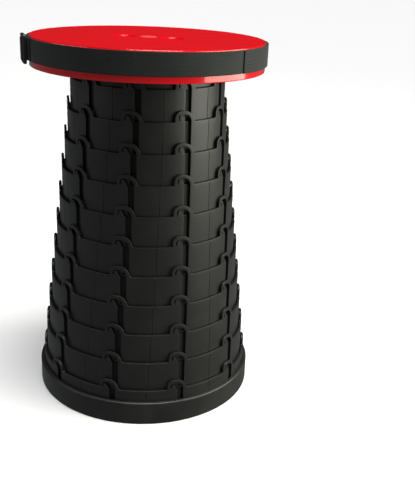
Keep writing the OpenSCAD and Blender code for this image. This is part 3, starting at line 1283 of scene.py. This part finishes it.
@dataclass
class SeatScrews:
    """Pan-head screws that hold the top ring to the cap."""

    repeater: RoundRepeater
    finish: ZincSteel = ZincSteel("screw_steel")
    count: int = 6
    at: float = 70.5 * MM
    head_r: float = 3.5 * MM
    shank_r: float = 1.7 * MM
    thread: float = 0.22 * MM
    thread_pitch: float = 1.1 * MM
    cross_r: float = 2.0 * MM
    cross_w: float = 0.45 * MM
    cross_d: float = 0.9 * MM
    steps: int = 24

    def mesh(self) -> bpy.types.Mesh:
        """One screw, at the front of the stool."""
        low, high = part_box("seat_screws")
        head_r = self.head_r
        seat = low.z + 1.8 * MM
        shape = Shape("screw")
        profile = [(self.shank_r * 0.55, high.z), (self.shank_r, high.z - 1.3 * MM)]
        z = high.z - 1.6 * MM
        while z > seat + 1.6 * MM:
            profile += [(self.shank_r - self.thread, z), (self.shank_r, z - self.thread_pitch / 2)]
            z -= self.thread_pitch
        profile += [(self.shank_r - self.thread, seat), (head_r - 0.15 * MM, seat),
                    (head_r, seat - 0.15 * MM), (head_r, seat - 0.7 * MM), (head_r * 0.9, seat - 1.25 * MM),
                    (head_r * 0.74, seat - 1.6 * MM), (head_r * 0.66, low.z)]
        loop = circle(head_r, self.steps, (0.0, -self.at))
        rows = rim(shape, loop, [(head_r - x, h) for x, h in profile])
        shape.lid([rows[0]], high.z)
        w, reach = self.cross_w, self.cross_r
        outline = [(w, w), (w, reach), (-w, reach), (-w, w), (-reach, w), (-reach, -w), (-w, -w),
                   (-w, -reach), (w, -reach), (w, -w), (reach, -w), (reach, w)]
        cross = [(x, y - self.at) for x, y in outline]
        cut = rim(shape, cross, [(0.0, low.z), (0.12 * MM, low.z + self.cross_d)])
        shape.lid([cut[-1]], low.z + self.cross_d)
        shape.lid([rows[-1], cut[0]], low.z)
        return shape.mesh()

    def build(self) -> None:
        """Builds the screws."""
        material = self.finish.material()
        one = self.mesh()
        made = self.repeater.repeat(one, self.count, math.pi / self.count, material)
        dress(finished("seat_screws_turned", made, material, 35, recalculate=True), "seat_screws", Slot.SCREW)


@dataclass
class BaseSkirt:
    """The skirt round the outermost ring, with its rounded shoulder."""

    finish: MouldedPlastic = MouldedPlastic("skirt_plastic", slide_marks=False)
    wall: float = 2.2 * MM
    shoulder: float = 1.9 * MM
    flange_in: float = 119.35 * MM
    flange_t: float = 2.0 * MM
    steps: int = 240

    def build(self) -> None:
        """Builds the skirt."""
        low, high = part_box("base_skirt")
        ring_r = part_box("ring_12")[1].x
        pad_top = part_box("foot_pads")[1].z
        r, top, foot = high.x, high.z, low.z
        inner, s = r - self.wall, self.shoulder
        section = [(self.flange_in + 0.2 * MM, pad_top), (inner, pad_top), (inner, foot + 0.2 * MM),
                   (inner + 0.2 * MM, foot), (r - 0.8 * MM, foot), (r - 0.24 * MM, foot + 0.24 * MM),
                   (r, foot + 0.8 * MM), (r, foot + 4 * MM), (r, top - s - 4 * MM)]
        section += [(r - s + x, top - s + y) for x, y in arc((0.0, 0.0), s, 0, 90, 7)]
        flange_top = pad_top + self.flange_t
        section += [(ring_r + 0.55 * MM, top), (ring_r + 0.25 * MM, top - 0.3 * MM),
                    (ring_r + 0.25 * MM, top - 2.2 * MM), (inner, top - 4.4 * MM), (inner, flange_top),
                    (self.flange_in + 0.2 * MM, flange_top), (self.flange_in, flange_top - 0.2 * MM),
                    (self.flange_in, pad_top + 0.2 * MM)]
        shape = Shape("base_skirt_mesh")
        lathe(shape, section, self.steps)
        piece = finished("base_skirt_moulded", shape.mesh(), self.finish.material(), 38, recalculate=True)
        dress(piece, "base_skirt", Slot.SKIRT)


@dataclass
class FootPads:
    """Ten rubber pads glued under the skirt's flange."""

    repeater: RoundRepeater
    finish: SoftRubber = SoftRubber("pad_rubber")
    count: int = 10
    inner: float = 119.75 * MM
    outer: float = 122.35 * MM
    spread: float = 16.0
    middle: float = 98.0
    edge: float = 0.3 * MM
    steps: int = 12

    def mesh(self) -> bpy.types.Mesh:
        """One pad, centred at the front."""
        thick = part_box("foot_pads")[1].z
        half = self.spread / 2
        outline = arc((0.0, 0.0), self.outer, -90 - half, -90 + half, self.steps)
        outline += arc((0.0, 0.0), self.inner, -90 + half, -90 - half, self.steps)
        e = self.edge
        shape = Shape("pad")
        glue = thick - 0.05 * MM
        rows = rim(shape, outline, [(e, 0.0), (0.3 * e, 0.3 * e), (0.0, e), (0.0, glue)])
        shape.lid([rows[0]], 0.0)
        shape.lid([rows[-1]], glue)
        return shape.mesh()

    def build(self) -> None:
        """Builds the pads."""
        material = self.finish.material()
        start = math.radians(self.middle % (360 / self.count))
        made = self.repeater.repeat(self.mesh(), self.count, start, material)
        dress(finished("foot_pads_moulded", made, material, 50, recalculate=True), "foot_pads", Slot.PAD)


@dataclass
class RimStrap:
    """Webbing wound on the cap's rim: a full inner loop, and a loose layer that goes through the slider."""

    repeater: RoundRepeater
    finish: Webbing = Webbing("webbing")
    slider_finish: MouldedPlastic = MouldedPlastic("slider_plastic", slide_marks=False, roughness=0.35)
    thick: float = 1.2 * MM
    gap: float = 0.1 * MM
    slider_at: float = -70.0
    end_at: float = 52.0
    slider_w: float = 23.0 * MM
    slider_t: float = 3.4 * MM
    slider_lift: float = 1.4 * MM
    bar: float = 2.4 * MM
    window: float = 7.8 * MM
    tuck: float = 14.0 * MM
    edge: float = 0.35 * MM
    hem: float = 12.0 * MM
    hem_inset: float = 2.4 * MM
    hem_rows: int = 6
    stitch_l: float = 2.4 * MM
    stitch_gap: float = 0.7 * MM
    stitch_r: float = 0.28 * MM
    thread_dark: Colour = (0.020, 0.022, 0.021)
    thread_pale: Colour = (0.070, 0.075, 0.072)
    selvedge_w: float = 2.0 * MM
    selvedge_foot: float = 2.6 * MM
    middle_share: float = 0.9
    slider_corner: float = 2.6 * MM
    slider_bevel: float = 0.9 * MM
    window_corner: float = 0.7 * MM
    window_play: float = 1.0 * MM

    @property
    def cap_r(self) -> float:
        """Radius of the cap's rim."""
        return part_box("seat_cap")[1].x

    @property
    def low(self) -> float:
        """Middle of the loose layer above the rim, where it lies on the inner loop."""
        return self.gap + self.thick + self.gap + self.thick / 2

    @property
    def slider_floor(self) -> float:
        """Height of the slider's inner face above the rim."""
        return self.low + self.thick / 2 + self.slider_lift

    @property
    def high(self) -> float:
        """Middle of the loose layer where it passes over the slider's bar."""
        return self.slider_floor + self.slider_t + 0.3 * MM + self.thick / 2

    def layer_at(self, u: float) -> float:
        """Height of the loose layer's middle above the rim.

        Args:
            u: distance along the rim from the slider.

        Returns:
            The height.
        """
        start, end = self.bar + 0.2 * MM, self.window - 0.2 * MM
        t = min(1.0, max(0.0, (end - abs(u)) / (end - start)))
        return self.low + (self.high - self.low) * t * t * (3 - 2 * t)

    def section(self, width: float) -> list[Point]:
        """Cross-section of the webbing, with thick selvedges.

        Args:
            width: the webbing's width.

        Returns:
            Its points, as distance across and height from its middle.
        """
        h, t, e = width / 2, self.thick / 2, self.edge
        thin, thick_at, thin_at = t * self.middle_share, h - self.selvedge_w, h - self.selvedge_foot
        right = [(thin_at, -thin), (thick_at, -t), (h - e, -t), (h - 0.3 * e, -t + 0.3 * e),
                 (h, -t + e), (h, t - e), (h - 0.3 * e, t - 0.3 * e), (h - e, t), (thick_at, t),
                 (thin_at, thin)]
        middle = [thin_at * k / 4 for k in (3, 2, 1, 0, -1, -2, -3)]
        outer = [(c, thin) for c in middle]
        left = [(-c, -d) for c, d in right]
        inner = [(-c, -thin) for c in middle]
        return right + outer + left + inner

    def ribbon(self, name: str, node: str, stations: Sequence[Point], closed: bool) -> bpy.types.Mesh:
        """Webbing along the rim.

        Args:
            name: the mesh's name.
            node: the CAD node whose height it takes.
            stations: distance along the rim from the front and height of its middle above the rim.
            closed: whether its ends meet.

        Returns:
            The mesh, with its UV map in metres.
        """
        low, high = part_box(node)
        middle, width, rim_r = (low.z + high.z) / 2, high.z - low.z, self.cap_r
        section = self.section(width)
        shape = Shape(name)
        rows = []
        count = len(stations)
        for i, (u, w) in enumerate(stations):
            before = stations[i - 1 if closed or i else 0]
            after = stations[(i + 1) % count if closed else min(i + 1, count - 1)]
            run = (after[0] - before[0]) or 1.0
            slope = 0.0 if closed else math.atan2(after[1] - before[1], run)
            points, places = [], []
            for across, out in section:
                a = (u - out * math.sin(slope)) / rim_r
                r = rim_r + w + out * math.cos(slope)
                points.append(Vector((r * math.sin(a), -r * math.cos(a), middle + across)))
                places.append((u, across))
            rows.append(shape.add(points, 0.0, places))
        shape.skin(rows, closed=True, looped=closed)
        if not closed:
            for row, flip in ((rows[0], False), (rows[-1], True)):
                shape.faces.append(tuple(reversed(row)) if flip else tuple(row))
        return shape.mesh()

    def stitches(self, start: float, length: float, height: float, out: float,
                 thread: bpy.types.Material) -> bpy.types.Mesh:
        """A row of stitches along the rim.

        Args:
            start: distance of the first stitch along the rim from the front.
            length: length of the row.
            height: its height.
            out: height of the webbing's face above the rim.
            thread: finish of the thread.

        Returns:
            The row as one mesh.
        """
        pitch = self.stitch_l + self.stitch_gap
        r = self.cap_r + out
        shape = Shape("stitch")
        h, w = self.stitch_l / 2, self.stitch_r
        ring = [(math.cos(a) * w, math.sin(a) * w) for a in (math.radians(45 * i) for i in range(8))]
        rows = []
        for t, scale, lift in ((-1.0, 0.35, -0.25), (-0.75, 0.85, 0.0), (0.0, 1.0, 0.08), (0.75, 0.85, 0.0),
                               (1.0, 0.35, -0.25)):
            rows.append(shape.add([
                Vector((t * h, -(r + lift * MM + dy * scale), height + dz * scale)) for dz, dy in ring
            ]))
        shape.skin(rows, closed=True)
        shape.faces += [tuple(rows[0]), tuple(reversed(rows[-1]))]
        count = max(1, round(length / pitch))
        return self.repeater.repeat(shape.mesh(), count, start / self.cap_r, thread,
                                    step=pitch / self.cap_r)

    def hem_seam(self) -> bpy.types.Object:
        """Sewn hem at the webbing's loose end: rows of stitches across it."""
        low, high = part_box("strap_tail")
        thread = Shader("thread")
        twist = thread.noise(thread.stretched(thread.place(), (2600.0, 2600.0, 900.0)), 1.0, 2.0)
        thread.set(Base_Color=thread.blend(twist, self.thread_dark, self.thread_pale),
                   Roughness=(twist * 0.2 + 0.5).held())
        thread.bump(twist, 0.00008, 0.6)
        start = math.radians(self.end_at) * self.cap_r + self.hem_inset + self.stitch_l / 2
        lowest, height = low.z + self.hem_inset, high.z - low.z - 2 * self.hem_inset
        face = self.low + self.thick / 2
        levels = [lowest + height * row / (self.hem_rows - 1) for row in range(self.hem_rows)]
        rows = [self.stitches(start, self.hem, level, face, thread.material) for level in levels]
        mesh = merged("hem_seam_mesh", rows)
        return finished("strap_hem_stitches", mesh, thread.material, 60, recalculate=True)

    def slider(self) -> bpy.types.Mesh:
        """The slider's frame with two windows, its edges rounded."""
        low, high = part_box("strap_band")
        middle = (low.z + high.z) / 2
        box_low, box_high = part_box("strap_slider")
        height, width = box_high.z - box_low.z, self.slider_w
        slot_h = high.z - low.z + self.window_play
        shape = Shape("slider")
        a = math.radians(self.slider_at)
        floor = self.cap_r + self.slider_floor

        def place(p: Point, out: float) -> Vector:
            """Stands a flat place up at the slider, at a height above its inner face."""
            x, y = p[0], -(floor + out)
            cos, sin = math.cos(a), math.sin(a)
            return Vector((x * cos - y * sin, x * sin + y * cos, middle + p[1]))

        corner = self.slider_corner
        outline = []
        for cx, cy, start in ((1, -1, -90), (1, 1, 0), (-1, 1, 90), (-1, -1, 180)):
            centre = (cx * (width / 2 - corner), cy * (height / 2 - corner))
            outline += arc(centre, corner, start, start + 90, 6)
        loops = [outline]
        for side in (-1, 1):
            lo, hi = sorted((side * self.bar, side * self.window))
            c = self.window_corner
            hole = []
            for x, y, start in ((hi - c, c - slot_h / 2, -90), (hi - c, slot_h / 2 - c, 0),
                                (lo + c, slot_h / 2 - c, 90), (lo + c, c - slot_h / 2, 180)):
                hole += arc((x, y), c, start, start + 90, 3)
            loops.append(hole)
        b, t = self.slider_bevel, self.slider_t
        faces = {0: [], 1: []}
        for n, loop in enumerate(loops):
            sign = 1 if n == 0 else -1
            rows = []
            for inset, out in ((b, 0.0), (CORNER * b, CORNER * b), (0.0, b), (0.0, t - b),
                               (CORNER * b, t - CORNER * b), (b, t)):
                flat = shifted(loop, sign * inset, closed=True)
                rows.append((shape.add([place(p, out) for p in flat]), flat))
            shape.skin([row for row, _ in rows], closed=True)
            faces[0].append(rows[0])
            faces[1].append(rows[-1])
        for side, out in ((0, 0.0), (1, t)):
            shape.fill([row for row, _ in faces[side]], [flat for _, flat in faces[side]], [],
                       lambda p, out=out: place(p, out))
        return shape.mesh()

    def build(self) -> None:
        """Builds the loop, the loose layer and the slider."""
        webbing = self.finish.material()
        whole = 2 * math.pi * self.cap_r
        steps = 300
        band = self.ribbon("strap_band_mesh", "strap_band",
                           [(whole * i / steps, self.gap + self.thick / 2) for i in range(steps)], True)
        dress(finished("strap_band_woven", band, webbing, 50, recalculate=True), "strap_band", Slot.WEBBING)

        slider = math.radians(self.slider_at) * self.cap_r
        end = math.radians(self.end_at - 360) * self.cap_r
        reach = self.window + 3 * MM
        near = [slider - reach + 2 * reach * i / 60 for i in range(61)]
        far_count = 250
        far = [end + (slider - reach - end) * i / far_count for i in range(far_count)]
        tail = [(u, self.layer_at(u - slider)) for u in [*far, *near, slider + self.tuck]]
        made = self.ribbon("strap_tail_mesh", "strap_tail", tail, False)
        dress(finished("strap_tail_woven", made, webbing, 50, recalculate=True), "strap_tail", Slot.WEBBING)
        seam = self.hem_seam()
        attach(seam, body_of("strap_tail"))

        slider_material = self.slider_finish.material()
        piece = finished("strap_slider_moulded", self.slider(), slider_material, 45, recalculate=True)
        dress(piece, "strap_slider", Slot.SLIDER)


def body_of(node: str) -> str:
    """The body that a CAD node belongs to."""
    bodies = frame["record"]["behaviour"]["bodies"]
    return next(body for body, nodes in bodies.items() if node in nodes)


def dress(piece: bpy.types.Object, node: str, slot: Slot) -> None:
    """Puts a piece in the place of a CAD node, on that node's body.

    Args:
        piece: the piece.
        node: the CAD node.
        slot: the record's slot for the piece; not used.
    """
    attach(piece, body_of(node))
    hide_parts(node)
    LOG.info("%s stands for %s", piece.name, node)


# ---------------------------------------------------------------- studio


@dataclass
class Studio:
    """Camera, lights and a pale floor."""

    lens: float = 54.85
    stand: tuple[float, float, float] = (0.0722, -0.8351, 0.4810)
    pitch: float = 21.015
    roll: float = 2.497
    floor_size: float = 60.0
    sky: float = 0.03
    ground: float = 0.20

    def camera(self) -> None:
        """Adds the camera."""
        data = bpy.data.cameras.new("view")
        data.lens = self.lens
        data.clip_start = 0.01
        camera = bpy.data.objects.new("view", data)
        bpy.context.scene.collection.objects.link(camera)
        tilt = Matrix.Rotation(math.radians(90 - self.pitch), 4, "X")
        roll = Matrix.Rotation(math.radians(self.roll), 4, "Z")
        camera.matrix_world = Matrix.Translation(self.stand) @ tilt @ roll
        bpy.context.scene.camera = camera
        bpy.context.scene.view_settings.view_transform = "Standard"

    def panel(self, name: str, azimuth: float, distance: float, height: float, size: tuple[float, float],
              power: float, colour: Colour = (1.0, 1.0, 1.0), aim: float = 0.2) -> None:
        """Adds a soft light panel.

        Args:
            name: the light's name.
            azimuth: angle from the front towards the right, in degrees.
            distance: distance from the stool's axis.
            height: height of its middle.
            size: width and height.
            power: watts.
            colour: its colour.
            aim: height on the axis that it faces.
        """
        data = bpy.data.lights.new(name, "AREA")
        data.shape = "RECTANGLE"
        data.size, data.size_y = size
        data.energy = power
        data.color = colour
        light = bpy.data.objects.new(name, data)
        bpy.context.scene.collection.objects.link(light)
        a = math.radians(azimuth)
        light.location = (distance * math.sin(a), -distance * math.cos(a), height)
        towards = Vector((0, 0, aim)) - light.location
        light.rotation_euler = towards.to_track_quat("-Z", "Y").to_euler()

    def world(self) -> None:
        """Dim even surroundings that look white where nothing stands."""
        world = bpy.data.worlds.new("surroundings")
        bpy.context.scene.world = world
        world.use_nodes = True
        nodes, links = world.node_tree.nodes, world.node_tree.links
        nodes.clear()
        seen, dim, mix = (nodes.new(kind) for kind in
                          ("ShaderNodeBackground", "ShaderNodeBackground", "ShaderNodeMixShader"))
        seen.inputs["Strength"].default_value = 1.0
        seen.inputs["Color"].default_value = (1.0, 1.0, 1.0, 1.0)
        dim.inputs["Color"].default_value = (0.96, 1.0, 0.99, 1.0)
        split, rise = nodes.new("ShaderNodeSeparateXYZ"), nodes.new("ShaderNodeMapRange")
        links.new(nodes.new("ShaderNodeTexCoord").outputs["Generated"], split.inputs[0])
        links.new(split.outputs["Z"], rise.inputs["Value"])
        levels = {"From Min": 0.10, "From Max": -0.25, "To Min": self.sky, "To Max": self.ground}
        for name, value in levels.items():
            rise.inputs[name].default_value = value
        links.new(rise.outputs["Result"], dim.inputs["Strength"])
        path = nodes.new("ShaderNodeLightPath")
        links.new(path.outputs["Is Camera Ray"], mix.inputs[0])
        links.new(dim.outputs[0], mix.inputs[1])
        links.new(seen.outputs[0], mix.inputs[2])
        links.new(mix.outputs[0], nodes.new("ShaderNodeOutputWorld").inputs[0])

    def floor(self) -> None:
        """Adds the floor, which throws no light back on the stool."""
        half = self.floor_size / 2
        mesh = bpy.data.meshes.new("floor")
        corners = [(-half, -half, 0), (half, -half, 0), (half, half, 0), (-half, half, 0)]
        mesh.from_pydata(corners, [], [(0, 1, 2, 3)])
        shader = Shader("pale_floor")
        shader.set(Base_Color=(0.90, 0.90, 0.90), Roughness=0.9, Specular_IOR_Level=0.1)
        mesh.materials.append(shader.material)
        floor = bpy.data.objects.new("floor", mesh)
        bpy.context.scene.collection.objects.link(floor)
        floor.visible_glossy = False
        floor.visible_diffuse = False

    def overhead(self, tilt: float, azimuth: float, spread: float, power: float) -> None:
        """Adds a broad even light from above.

        Args:
            tilt: angle from the upright, in degrees.
            azimuth: where it leans to, from the front towards the right, in degrees.
            spread: how wide it looks, in degrees.
            power: watts for each square metre.
        """
        data = bpy.data.lights.new("overhead", "SUN")
        data.energy = power
        data.angle = math.radians(spread)
        light = bpy.data.objects.new("overhead", data)
        bpy.context.scene.collection.objects.link(light)
        a, t = math.radians(azimuth), math.radians(tilt)
        towards = -Vector((math.sin(t) * math.sin(a), -math.sin(t) * math.cos(a), math.cos(t)))
        light.rotation_euler = towards.to_track_quat("-Z", "Y").to_euler()

    def build(self) -> None:
        """Builds the studio."""
        self.camera()
        self.world()
        self.floor()
        self.overhead(tilt=9, azimuth=40, spread=34, power=3.35)
        self.panel("right", azimuth=82, distance=1.3, height=0.62, size=(1.3, 1.25), power=30.0,
                   colour=(1.0, 1.0, 0.87), aim=0.30)
        self.panel("left", azimuth=-72, distance=1.2, height=0.70, size=(0.9, 0.5), power=2.5,
                   colour=(0.96, 1.0, 0.99), aim=0.34)


def main() -> None:
    """Builds the studio and the stool."""
    logging.basicConfig(level=logging.INFO, format="%(name)s: %(message)s")
    Studio().build()
    repeater = RoundRepeater()
    tower = RingTower(repeater)
    tower.build()
    TopRing(tower).build()
    SeatCap().build()
    SeatScrews(repeater).build()
    BaseSkirt().build()
    FootPads(repeater).build()
    RimStrap(repeater).build()


if __name__ == "__main__":
    main()
